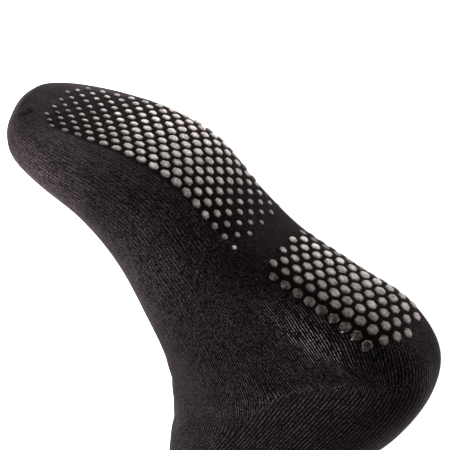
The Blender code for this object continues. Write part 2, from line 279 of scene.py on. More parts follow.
def padded_table():
    """Section rows in metres, with a mirrored row before the toe tip and a straight one past the collar."""
    percent = np.array([row[1:] for row in SECTIONS])
    scale = [FOOT_LENGTH, INSTEP_HEIGHT, FOOT_LENGTH, INSTEP_HEIGHT] + [BALL_WIDTH] * 4
    table = percent * np.array(scale + [100.0, 100.0]) / 100.0
    mirrored = table[1].copy()
    mirrored[[0, 1, 2, 3]] = table[1][[2, 3, 0, 1]]
    mirrored[[6, 7]] *= -1.0
    return np.vstack([mirrored, table, 2.0 * table[-1] - table[-2]])


PADDED = padded_table()


def section_at(place):
    """Section values at fractional places, on a Catmull-Rom curve through the table's rows."""
    place = np.clip(np.asarray(place, float), 0.0, LAST_SECTION - 1e-9)
    row = np.floor(place).astype(int)
    f = (place - row)[..., None]
    a, b, c, d = PADDED[row], PADDED[row + 1], PADDED[row + 2], PADDED[row + 3]
    cubic = 2 * b + (c - a) * f + (2 * a - 5 * b + 4 * c - d) * f ** 2 + (3 * b - a - 3 * c + d) * f ** 3
    values = 0.5 * cubic
    return {name: values[..., column] for column, name in enumerate(SECTION_COLUMNS)}


def skin(place, around):
    """Wall points on the standing foot: a superellipse between a back point and a front point.

    around is 0 on the sole or back, grows to the outer side and is pi on the instep or shin.
    """
    s = section_at(place)
    cosine = np.cos(around)
    sine = np.sin(around)
    power = 2.0 / np.where(cosine > 0, s["square"], FRONT_SQUARE)
    reach = np.abs(cosine) ** power
    share = np.where(cosine > 0, s["widest"] * (1 - reach), s["widest"] + (1 - s["widest"]) * reach)
    width = np.where(sine > 0, s["outer"], s["inner"])
    x = s["back_x"] + (s["front_x"] - s["back_x"]) * share
    y = s["back_y"] + (s["front_y"] - s["back_y"]) * share + width * np.sign(sine) * np.abs(sine) ** power
    z = s["back_z"] + (s["front_z"] - s["back_z"]) * share
    return np.stack([x, y, z], axis=-1)


def lifted(place, around, height, step=1e-3):
    """Points at a height above the wall: skin plus height times the cross product of its two slopes."""
    along = skin(place + step, around) - skin(place - step, around)
    across = skin(place, around + step) - skin(place, around - step)
    normal = np.cross(along, across)
    normal /= np.linalg.norm(normal, axis=-1, keepdims=True)
    return skin(place, around) + normal * np.asarray(height)[..., None]


def turn_over(points):
    """Turn points of the standing foot onto the outer side: x, z, -y, then the two small lying angles."""
    turned = np.stack([points[..., 0], points[..., 2], -points[..., 1]], axis=-1)
    tilt = np.array(Matrix.Rotation(LIE_PITCH, 3, "Y") @ Matrix.Rotation(LIE_ROLL, 3, "X"))
    return turned @ tilt.T


def floor_height():
    """Height of the floor under the turned sock, PRESS above its lowest point."""
    place = np.arange(0.0, LAST_SECTION, 0.1)
    around = np.arange(-math.pi, math.pi, 0.05)
    return turn_over(skin(*np.meshgrid(place, around, indexing="ij")))[..., 2].min() + PRESS


FLOOR = floor_height()


def lie_down(points):
    """Points of the sock as it lies: turned over, moved to the middle, and no lower than the floor."""
    turned = turn_over(points) - np.array([MIDDLE_X, MIDDLE_Y, FLOOR])
    turned[..., 2] = np.maximum(turned[..., 2], 0.0)
    return turned


def even_angles(place, steps, sign):
    """Angles that part one half of each ring into equal lengths, from the sole or back to the front.

    The length along a finely cut half ring is summed, and the angles at even shares are read back.
    """
    v = np.linspace(0.0, 1.0, 241)
    quarter = np.arctan2(v ** 1.5, (1 - v) ** 1.5)
    fine = np.concatenate([quarter[:-1], np.linspace(0.5 * math.pi, math.pi, 181)])
    ring = skin(place[:, None] + 0 * fine, sign * fine + 0 * place[:, None])
    length = np.cumsum(np.linalg.norm(np.diff(ring, axis=1), axis=-1), axis=1)
    length = np.hstack([np.zeros((len(place), 1)), length])
    wanted = np.linspace(0.0, 1.0, steps + 1)
    return sign * np.stack([np.interp(wanted * marks[-1], marks, fine) for marks in length])


def even_rows(count):
    """Places of rings from toe to collar, even by the longest way between rings, and closer at the toe."""
    place = np.linspace(0.0, LAST_SECTION - 1e-6, ROW_GUESS)
    around = np.linspace(-math.pi, math.pi, 49)
    rings = skin(*np.meshgrid(place, around, indexing="ij"))
    step = np.linalg.norm(np.diff(rings, axis=0), axis=-1).max(axis=1)
    step = step * np.where(place[1:] < TOE_ROWS_TO, 2.0, 1.0)
    length = np.concatenate([[0.0], np.cumsum(step)])
    return np.interp(np.linspace(0.0, length[-1], count + 1)[1:], length, place)


def wall_grid():
    """Rings of the wall: places, angles and the share of the half girth from front (0) to sole (1).

    Columns run from the sole over the outer side to the front and back over the inner side, and the
    first column is repeated at the end.
    """
    place = even_rows(ROWS)
    half = COLUMNS // 2
    outer = even_angles(place, half, 1.0)
    inner = even_angles(place, half, -1.0)
    around = np.hstack([outer, inner[:, ::-1][:, 1:]])
    share = np.abs(np.linspace(-1.0, 1.0, COLUMNS + 1))
    return place, around, np.tile(share, (len(place), 1))


def wale_share(place, share, leg_side):
    """Share of the half's wales that a point lies on, which bends the wales into the heel's chevron.

    It is the share of the girth plus a slow shift along the foot. A second shift, greatest at the gore, is
    a small dip on the foot's side and turns the wales up the leg on the leg's side.
    """
    turning = place - (TURN_PLACE + TURN_SLOPE * (share - TURN_SHARE))
    past = place - np.interp(share, GORE_SHARES, GORE_PLACES)
    slow = np.interp(turning, SLOW_AT, SLOW_SHIFT) * band(share, SLOW_BAND)
    dip = -FOOT_DIP * np.clip(1 + past, 0.0, 1.0) ** 2 * band(share, DIP_BAND)
    turn = -LEG_TURN * np.clip(1 - past / LEG_TURN_REACH, 0.0, 1.0) ** 2 * band(share, LEG_BAND)
    return share + slow + np.where(leg_side, turn, dip)


def closed_tube_faces(rows, columns, start, flip):
    """Faces of a grid of rings that close on themselves, as corner indices, and each corner's grid place."""
    row, column = np.meshgrid(np.arange(rows - 1), np.arange(columns), indexing="ij")
    row = row.ravel()
    column = column.ravel()
    r = np.stack([row, row + 1, row + 1, row], axis=1)
    c = np.stack([column, column, column + 1, column + 1], axis=1)
    if flip:
        r = r[:, ::-1]
        c = c[:, ::-1]
    return start + r * columns + c % columns, r, c


def mesh_object(name, points, quads, triangles=None):
    """A mesh object at the origin from arrays of points, four-cornered and three-cornered faces."""
    mesh = bpy.data.meshes.new(name)
    corners = quads.ravel()
    sizes = np.full(len(quads), 4)
    if triangles is not None:
        corners = np.concatenate([corners, triangles.ravel()])
        sizes = np.concatenate([sizes, np.full(len(triangles), 3)])
    mesh.vertices.add(len(points))
    mesh.vertices.foreach_set("co", np.asarray(points, np.float32).ravel())
    mesh.loops.add(len(corners))
    mesh.loops.foreach_set("vertex_index", corners.astype(np.int32))
    mesh.polygons.add(len(sizes))
    mesh.polygons.foreach_set("loop_start", np.concatenate([[0], np.cumsum(sizes)[:-1]]).astype(np.int32))
    mesh.update(calc_edges=True)
    mesh.shade_smooth()
    piece = bpy.data.objects.new(name, mesh)
    bpy.context.scene.collection.objects.link(piece)
    return piece


def add_values(piece, name, values):
    """A float attribute with one value for each vertex."""
    attribute = piece.data.attributes.new(name, "FLOAT", "POINT")
    attribute.data.foreach_set("value", np.asarray(values, np.float32).ravel())


def grid_normals(points):
    """Outward unit normals of closed rings: slope along the rings crossed with slope around them."""
    along = np.gradient(points, axis=0)
    across = np.roll(points, -1, axis=1) - np.roll(points, 1, axis=1)
    normal = np.cross(along, across)
    return normal / np.maximum(np.linalg.norm(normal, axis=-1, keepdims=True), 1e-12)


def spot(place, share, at, size):
    """A soft round patch: exp of minus the squared distance from a place and share, in their sizes."""
    return np.exp(-((place - at[0]) / size[0]) ** 2 - ((share - at[1]) / size[1]) ** 2)


def wall_mark(mark):
    """The wall point of the inner side at a place and a share of the half girth from front to sole."""
    place, share = mark
    angles = even_angles(np.array([place]), 200, -1.0)[0]
    around = np.interp(1.0 - share, np.linspace(0.0, 1.0, 201), angles)
    return skin(np.array([place]), np.array([around]))[0]


def crease_depth(points):
    """How deep the creases press the wall in: each adds depth times exp of minus squared distance in widths.

    The distance is taken to the nearest of the straight stretches between the crease's marks.
    """
    total = np.zeros(points.shape[:-1])
    for name, marks, depth, width in CREASES:
        ends = np.stack([wall_mark(mark) for mark in marks])
        nearest = np.full(points.shape[:-1], 1.0)
        for start, end in zip(ends[:-1], ends[1:]):
            way = end - start
            part = np.clip(((points - start) @ way) / (way @ way), 0.0, 1.0)
            gap = np.linalg.norm(points - start - part[..., None] * way, axis=-1)
            nearest = np.minimum(nearest, gap)
        total += depth * np.exp(-(nearest / width) ** 2)
    return total


def gap_shade_amount(points):
    """Painted shade on the knit between the dots, where the dots shade it: 1 between dots and 0 away from the
    fields.

    It falls with the mean distance to the three nearest dots, which is least inside a field, and small dots
    count as further away.
    """
    first = np.full(points.shape[:-1], 1.0)
    second = first.copy()
    third = first.copy()
    for field in FIELDS.values():
        cells = field_cells(field)
        size = np.interp(cells[:, 0] + cells[:, 1] / 2, field["size_at"], field["size"])
        centres = field_points(field, cells[:, 0], cells[:, 1], np.zeros(len(cells)), lying=False)
        for centre, away in zip(centres, (GAP_SHADE_SIZE / size) ** 0.7):
            gap = away * np.linalg.norm(points - centre, axis=-1)
            third = np.minimum(third, np.maximum(second, gap))
            second = np.minimum(second, np.maximum(first, gap))
            first = np.minimum(first, gap)
    return 1 - smooth_step((first + second + third) / 3, GAP_SHADE_REACH, 1.5 * GAP_SHADE_REACH)


def make_sock():
    """The knit sock: one closed shell of outer rings, collar edge and inner rings.

    The outer rings are the skin plus its normal times the lift: cuff step and ribs, less the creases. The
    inner rings are the skin less the wall. Its UV counts stitches.
    """
    place, around, share = wall_grid()
    rows = len(place)
    places = np.repeat(place[:, None], COLUMNS + 1, axis=1)
    points = skin(places, around)[:, :COLUMNS]
    normal = grid_normals(points)

    # Rib cuff: a step in the wall, with even ribs around it
    ribs = np.cos(2 * math.pi * RIBS * np.arange(COLUMNS) / COLUMNS)
    cuff = smooth_step(place, CUFF_FROM - CUFF_EDGE, CUFF_FROM + CUFF_EDGE)[:, None]
    pressed = crease_depth(points)
    lift = cuff * (CUFF_STEP + RIB_DEPTH * ribs[None, :]) - pressed
    outer = points + normal * lift[..., None]
    inner = (points - normal * WALL)[::-1][::INSIDE_EVERY][::-1]
    inner_rows = len(inner)
    tip = skin(np.array([0.0]), np.array([0.0]))
    inner_tip = tip - np.array([[WALL, 0.0, 0.0]])
    everything = np.vstack([outer.reshape(-1, 3), inner.reshape(-1, 3), tip, inner_tip])
    lying = lie_down(everything)
    inside = slice(rows * COLUMNS, (rows + inner_rows) * COLUMNS)
    lying[inside, 2] = np.maximum(lying[inside, 2], WALL)

    # Stitch counts: wales around from the sole's middle, courses along from toe or collar
    ring = skin(places, around)
    step = np.linalg.norm(np.diff(ring, axis=0), axis=-1)
    run = np.vstack([np.zeros((1, COLUMNS + 1)), np.cumsum(step, axis=0)])
    side = np.where(np.arange(COLUMNS + 1) < COLUMNS // 2, -1.0, 1.0)[None, :]
    counts = []
    for leg_side in (False, True):
        wales = 0.5 * WALES * (1 + side * wale_share(places, share, leg_side))
        courses = (run - run[-1:] if leg_side else run) / COURSE
        counts.append(np.stack([wales, courses], axis=-1))

    outer_quads, r, c = closed_tube_faces(rows, COLUMNS, 0, False)
    start = rows * COLUMNS
    inner_quads, inner_r, inner_c = closed_tube_faces(inner_rows, COLUMNS, start, True)
    inner_r = rows - 1 - (inner_rows - 1 - inner_r) * INSIDE_EVERY
    column = np.arange(COLUMNS)
    after = (column + 1) % COLUMNS
    last = (rows - 1) * COLUMNS
    inner_last = start + (inner_rows - 1) * COLUMNS
    edge_quads = np.stack([last + column, inner_last + column, inner_last + after, last + after], axis=1)
    edge_r = np.full((COLUMNS, 4), rows - 1)
    edge_c = np.stack([column, column, column + 1, column + 1], axis=1)
    quads = np.vstack([outer_quads, inner_quads, edge_quads])
    r = np.vstack([r, inner_r, edge_r])
    c = np.vstack([c, inner_c, edge_c])
    tip_index = len(everything) - 2
    tip_fan = np.stack([np.full(COLUMNS, tip_index), column, after], axis=1)
    inner_fan = np.stack([np.full(COLUMNS, tip_index + 1), start + after, start + column], axis=1)
    piece = mesh_object("knit_sock", lying, quads, np.vstack([tip_fan, inner_fan]))

    middle_share = share[0][c].mean(axis=1)
    face_place = place[r].mean(axis=1)
    on_leg = face_place > np.interp(middle_share, GORE_SHARES, GORE_PLACES)
    uv = np.where(on_leg[:, None, None], counts[1][r, c], counts[0][r, c])
    fan_uv = np.stack([counts[0][np.zeros_like(column), column] - [0.0, 1.0],
                       counts[0][np.zeros_like(column), column],
                       counts[0][np.zeros_like(column), column + 1]], axis=1)
    layer = piece.data.uv_layers.new(name="stitches")
    all_uv = np.concatenate([uv.reshape(-1, 2), fan_uv.reshape(-1, 2), fan_uv[:, [0, 2, 1]].reshape(-1, 2)])
    layer.data.foreach_set("uv", all_uv.astype(np.float32).ravel())

    # Where the knit is stretched thin, by place and share on the inner side
    inner_side = (side[:, :COLUMNS] > 0).astype(float)
    wide = share[:, :COLUMNS]
    at = places[:, :COLUMNS]
    off_gore = at - np.interp(wide, GORE_SHARES, GORE_PLACES)
    by_gore = GORE_PULL * band(wide, GORE_BAND) * np.exp(-(off_gore / GORE_WIDTH) ** 2)
    stretched = inner_side * (spot(at, wide, PULL_AT, PULL_SIZE) + by_gore)
    # The toe notch's crease is painted darker: painted shade
    notch = np.clip(pressed / NOTCH_DEPTH, 0.0, 1.0) * (at < TOE_ROWS_TO)
    # The nap is painted paler at the toe and ball, partly rubbed wear and partly painted light, and darker
    # under the foot and at the heel as painted shade
    # Painted shade under the foot
    under = np.interp(at, UNDER_SHADE_PLACES, UNDER_SHADE) * smooth_step(wide, *UNDER_SHADE_SHARES)
    nap_and_light = np.interp(at, NAP_AND_LIGHT_PLACES, NAP_AND_LIGHT) * (1 - under)
    # Painted shade at the heel
    nap_and_light = nap_and_light * (1 - HEEL_SHADE * smooth_step(at, *HEEL_PLACES) * smooth_step(wide, *HEEL_SHARES))
    # Painted shade in the grooves of the rib cuff
    nap_and_light = nap_and_light * (1 - RIB_SHADE * cuff * (0.5 - 0.5 * ribs[None, :]))
    # Wales read in pairs on the leg, and partly so on the foot. Lines and grain are weaker at the toe.
    paired = np.interp(at, PAIR_PLACES, PAIRED)
    paired = np.maximum(paired, smooth_step(off_gore, -0.05, 0.30))
    lines = np.interp(at, LINE_PLACES, LINES)
    grain = np.interp(at, GRAIN_PLACES, GRAIN)
    # nap holds rubbed wear together with painted light and shade
    # printed holds the painted shade on the knit between the dots
    shown = {"stretched": stretched, "notch": notch, "printed": gap_shade_amount(outer), "nap_and_light": nap_and_light,
             "paired": paired, "lines": lines, "grain": grain}
    for name, values in shown.items():
        pad = np.zeros(len(everything))
        pad[:rows * COLUMNS] = values.ravel()
        add_values(piece, name, pad)
    return piece


def ruler_angle(mark):
    """Angle around the wall at a ruler mark from -1 to 1: the mark's power, closer at the sole's middle."""
    return RULER_TURN * np.sign(mark) * np.abs(mark) ** RULER_CLOSE


def print_ruler():
    """Lengths along the sole's middle and across it, summed over a grid of places on the wall."""
    place = np.linspace(RULER_FROM, RULER_TO, RULER_ROWS)
    mark = np.linspace(-1.0, 1.0, RULER_COLUMNS)
    grid = skin(*np.meshgrid(place, ruler_angle(mark), indexing="ij"))
    middle = len(mark) // 2
    along = np.concatenate([[0.0], np.cumsum(np.linalg.norm(np.diff(grid[:, middle], axis=0), axis=-1))])
    across = np.cumsum(np.linalg.norm(np.diff(grid, axis=1), axis=-1), axis=1)
    across = np.hstack([np.zeros((len(place), 1)), across])
    return place, mark, along, across - across[:, middle:middle + 1]


RULER = print_ruler()


def place_on_sole(along, across):
    """Wall places of print points, read back from the ruler by their lengths along and across the sole."""
    place_grid, mark_grid, along_ruler, across_ruler = RULER
    count = len(place_grid)
    place = np.interp(along, along_ruler, place_grid)
    row = np.clip(np.interp(place, place_grid, np.arange(count)), 0, count - 1.001)
    lower = row.astype(int)
    share = row - lower
    mark = np.zeros_like(place)
    pick = np.arange(place.size)
    for ruler_row, weight in ((lower, 1 - share), (lower + 1, share)):
        marks = across_ruler[ruler_row]
        step = np.clip((marks < across[:, None]).sum(axis=1) - 1, 0, len(mark_grid) - 2)
        part = (across - marks[pick, step]) / (marks[pick, step + 1] - marks[pick, step])
        mark += weight * (mark_grid[step] + part * (mark_grid[1] - mark_grid[0]))
    return place, ruler_angle(mark)


def field_cells(field):
    """Dots of a field as (step, row): row counts across the sole, step + row / 2 pitches along it."""
    cells = []
    for row in range(-field["half_rows"], field["half_rows"] + 1):
        outermost = abs(row) == field["half_rows"]
        first = field["side_first"] if outermost else field["first"]
        last = field["last"] - field["rounding"] * row ** 2 - field["outer_cut"] * max(row - OUTER_ROW, 0)
        low = math.ceil(first - row / 2 - 1e-6)
        high = math.floor(last - row / 2 + 1e-6)
        cells += [(step, row) for step in range(low, high + 1) if (step, row) != field.get("left_out")]
    return np.array(cells, float)


def field_points(field, steps, rows, height, lying=True):
    """Print points at lattice places and heights: the lattice is turned, bowed and spread on the sole."""
    u = steps + rows / 2
    w = rows * math.sqrt(3) / 2
    turn = field["turn"]
    a = u * math.cos(turn) - w * math.sin(turn)
    b = u * math.sin(turn) + w * math.cos(turn)
    spacing = a + field["spread"] * a ** 2 + field["stretch"] * a ** 3
    spacing = spacing + field["bow"] * b ** 2 + field["slant"] * a * b
    along = field["origin"] + field["pitch"] * spacing
    width = b * (1 + field["narrow"] * a + field["pinch"] * a ** 2)
    width = width + field["fan"] * b ** 2 + field["drift"] * a ** 2
    across = field["shift"] + field["across"] * width
    place, around = place_on_sole(along, across)
    points = lifted(place, around, height)
    return lie_down(points) if lying else points


def make_dots(name, field, reach_share, seed):
    """One field of printed dots: low domes on rings of twelve corners between a hexagon and a circle.

    The radius is the size times the ring's share times the outline, and the height follows the profile.
    """
    rng = np.random.default_rng(seed)
    cells = field_cells(field)
    count = len(cells)
    rings = len(DOT_PROFILE)
    u = cells[:, 0] + cells[:, 1] / 2
    size = np.interp(u, field["size_at"], field["size"]) * reach_share
    size = size * (1 + VARY_SIZE * rng.standard_normal(count))
    size = size * np.interp(cells[:, 1], field["size_rows"], field["size_row"])
    # Milkiness along the field and by row: partly print thickness, partly painted light and shade, mostly
    # lower on the inner rows and higher towards the outer ones
    milky_and_shade = np.interp(u, field["milky_and_shade_at"], field["milky_and_shade"])
    milky_and_shade = milky_and_shade * np.interp(cells[:, 1], field["milky_and_shade_rows"], field["milky_and_shade_row"])
    milky_and_shade = np.clip(milky_and_shade * (1 + VARY_MILKY * rng.standard_normal(count)), 0.0, 1.0)
    angle = np.arange(DOT_SIDES) * 2 * math.pi / DOT_SIDES
    share = np.array([row[1] for row in DOT_PROFILE])
    rise = np.array([row[2] for row in DOT_PROFILE])
    outline = np.where(np.arange(DOT_SIDES) % 2 == 1, DOT_OUTLINE[1], DOT_OUTLINE[0])
    high = DOT_HEIGHT * (LOW_DOT + TALL_DOT * np.minimum(size / FULL_SIZE, 1.0))
    high = high * (1 + VARY_HEIGHT * rng.standard_normal(count))
    high = high * np.interp(cells[:, 1], field["flat_rows"], field["flat_row"])
    # Beads of print beside the dots: place along, row, reach, milkiness and height. The pale ones are painted
    # highlights that stand for glints at the dots' edges.
    beads_and_glints = np.array(field["beads_and_glints"])
    cells = np.vstack([cells, np.stack([beads_and_glints[:, 0] - beads_and_glints[:, 1] / 2, beads_and_glints[:, 1]], axis=1)])
    size = np.concatenate([size, beads_and_glints[:, 2]])
    milky_and_shade = np.concatenate([milky_and_shade, beads_and_glints[:, 3]])
    high = np.concatenate([high, beads_and_glints[:, 4]])
    count = len(cells)
    u = cells[:, 0] + cells[:, 1] / 2
    row = cells[:, 1] * np.where(cells[:, 1] == -field["half_rows"], field["edge_out"], 1.0)
    # One lattice step is one pitch along, and a row is half a step on and 0.866 across
    across = np.sin(angle) / (math.sqrt(3) / 2)
    along = np.cos(angle) - across / 2
    uneven = 1 + VARY_CORNER * rng.standard_normal((count, 1, DOT_SIDES))
    reach = size[:, None, None] * share[None, :, None] * outline * uneven
    steps = (u - row / 2)[:, None, None] + reach * along
    rows = row[:, None, None] + reach * across
    wobble = 1 + VARY_RING * rng.standard_normal((count, rings, DOT_SIDES)) * (rise > 0)[None, :, None]
    height = high[:, None, None] * rise[None, :, None] * wobble
    points = field_points(field, steps.ravel(), rows.ravel(), height.ravel())
    top_height = high * (TOP_SHARE + VARY_HEIGHT * rng.standard_normal(count))
    top = field_points(field, u - row / 2, row, top_height)
    k, ring, side = np.meshgrid(np.arange(count), np.arange(rings - 1), np.arange(DOT_SIDES), indexing="ij")
    near = (k * rings + ring) * DOT_SIDES
    far = near + DOT_SIDES
    after = (side + 1) % DOT_SIDES
    quads = np.stack([near + side, far + side, far + after, near + after], axis=-1).reshape(-1, 4)
    k, side = np.meshgrid(np.arange(count), np.arange(DOT_SIDES), indexing="ij")
    base = k * rings * DOT_SIDES
    hub = len(points) + k
    triangles = np.stack([hub, base + side, base + (side + 1) % DOT_SIDES], axis=-1).reshape(-1, 3)
    # The underside is closed by a fan from the foot ring's first corner
    k, side = np.meshgrid(np.arange(count), np.arange(1, DOT_SIDES - 1), indexing="ij")
    foot = (k * rings + rings - 1) * DOT_SIDES
    under = np.stack([foot, foot + side + 1, foot + side], axis=-1).reshape(-1, 3)
    piece = mesh_object(name, np.vstack([points, top]), quads, np.vstack([triangles, under]))
    edge = np.tile(np.repeat(share, DOT_SIDES), count)
    add_values(piece, "edge", np.concatenate([edge, np.zeros(count)]))
    add_values(piece, "milky_and_shade", np.concatenate([np.repeat(milky_and_shade, rings * DOT_SIDES), milky_and_shade]))
    return piece


def add_node(tree, kind, place, **values):
    """A shader node with named settings at a place on the sheet."""
    node = tree.nodes.new(kind)
    node.location = place
    for name, value in values.items():
        setattr(node, name, value)
    return node


def do_math(tree, operation, first, second=None, place=(0, 0), third=None):
    """A Math node whose inputs are sockets or numbers, and its result."""
    node = add_node(tree, "ShaderNodeMath", place, operation=operation)
    for index, value in enumerate((first, second, third)):
        if value is None:
            continue
        if hasattr(value, "is_linked"):
            tree.links.new(value, node.inputs[index])
        else:
            node.inputs[index].default_value = value
    return node.outputs[0]


def stitch_group():
    """Plain knit from stitch counts: Height of the wales, Line on each, and Streak and Speck to break it up.

    Height is a cosine across each wale or pair of wales, times a slanted cosine along its courses. Line is
    the cosine raised to a thin line. Streak is noise along each wale and Speck a random value for each leg
    of a stitch.
    """
    tree = bpy.data.node_groups.new("plain_knit_stitches", "ShaderNodeTree")
    tree.interface.new_socket("Stitches", in_out="INPUT", socket_type="NodeSocketVector")
    tree.interface.new_socket("Paired", in_out="INPUT", socket_type="NodeSocketFloat")
    for name in ("Height", "Line", "Streak", "Speck"):
        tree.interface.new_socket(name, in_out="OUTPUT", socket_type="NodeSocketFloat")
    inside = add_node(tree, "NodeGroupInput", (-1200, 0))
    outside = add_node(tree, "NodeGroupOutput", (900, 0))
    parts = add_node(tree, "ShaderNodeSeparateXYZ", (-1000, 0))
    tree.links.new(inside.outputs["Stitches"], parts.inputs[0])
    wale, course = parts.outputs["X"], parts.outputs["Y"]
    round_wale = do_math(tree, "MULTIPLY", wale, 2 * math.pi, (-800, 300))
    ridge = do_math(tree, "COSINE", round_wale, place=(-650, 300))
    round_pair = do_math(tree, "MULTIPLY", wale, math.pi, (-800, 500))
    pair = do_math(tree, "COSINE", round_pair, place=(-650, 500))
    change = do_math(tree, "SUBTRACT", pair, ridge, (-600, 400))
    ridge = do_math(tree, "MULTIPLY_ADD", change, inside.outputs["Paired"], (-550, 350), ridge)
    across = do_math(tree, "MULTIPLY_ADD", ridge, 0.5, (-500, 300), 0.5)
    # Along a wale: each leg of a stitch slants from the groove to the middle
    phase = do_math(tree, "MULTIPLY_ADD", across, LEG_SLANT, (-350, -100), course)
    phase = do_math(tree, "MULTIPLY", phase, 2 * math.pi, (-200, -100))
    wave = do_math(tree, "COSINE", phase, place=(-50, -100))
    wave = do_math(tree, "MULTIPLY_ADD", wave, 0.25, (100, -100), 0.75)
    height = do_math(tree, "MULTIPLY", across, wave, (300, 100))
    tree.links.new(height, outside.inputs["Height"])
    line = do_math(tree, "POWER", across, 8.0, (300, 300))
    tree.links.new(line, outside.inputs["Line"])
    half_wale = do_math(tree, "MULTIPLY", wale, 2.0, (-800, -800))
    half_wale = do_math(tree, "FLOOR", half_wale, place=(-650, -800))
    one_wale = do_math(tree, "ADD", wale, 0.5, (-800, -300))
    one_wale = do_math(tree, "FLOOR", one_wale, place=(-650, -300))
    drawn = add_node(tree, "ShaderNodeCombineXYZ", (-350, -300))
    tree.links.new(do_math(tree, "MULTIPLY", one_wale, 1.7, (-500, -300)), drawn.inputs["X"])
    tree.links.new(do_math(tree, "MULTIPLY", course, 0.12, (-500, -450)), drawn.inputs["Y"])
    noise = add_node(tree, "ShaderNodeTexNoise", (-150, -300), noise_dimensions="2D")
    noise.inputs["Scale"].default_value = 1.0
    noise.inputs["Detail"].default_value = 2.0
    tree.links.new(drawn.outputs[0], noise.inputs["Vector"])
    spread = add_node(tree, "ShaderNodeMapRange", (50, -300))
    spread.inputs["From Min"].default_value = 0.28
    spread.inputs["From Max"].default_value = 0.72
    tree.links.new(noise.outputs["Fac"], spread.inputs["Value"])
    tree.links.new(spread.outputs["Result"], outside.inputs["Streak"])
    half_course = do_math(tree, "MULTIPLY_ADD", across, LEG_SLANT, (-650, -650), course)
    half_course = do_math(tree, "MULTIPLY", half_course, 2.0, (-500, -650))
    half_course = do_math(tree, "FLOOR", half_course, place=(-350, -650))
    stitch = add_node(tree, "ShaderNodeCombineXYZ", (-200, -650))
    tree.links.new(half_wale, stitch.inputs["X"])
    tree.links.new(half_course, stitch.inputs["Y"])
    chance = add_node(tree, "ShaderNodeTexWhiteNoise", (0, -650), noise_dimensions="2D")
    tree.links.new(stitch.outputs[0], chance.inputs["Vector"])
    tree.links.new(chance.outputs["Value"], outside.inputs["Speck"])
    return tree


def mix_colour(tree, factor, first, second, place):
    """A colour mix whose factor and colours are sockets or values, and its result."""
    node = add_node(tree, "ShaderNodeMix", place, data_type="RGBA")
    for index, value in ((0, factor), (6, first), (7, second)):
        if hasattr(value, "is_linked"):
            tree.links.new(value, node.inputs[index])
        else:
            node.inputs[index].default_value = value
    return node.outputs[2]


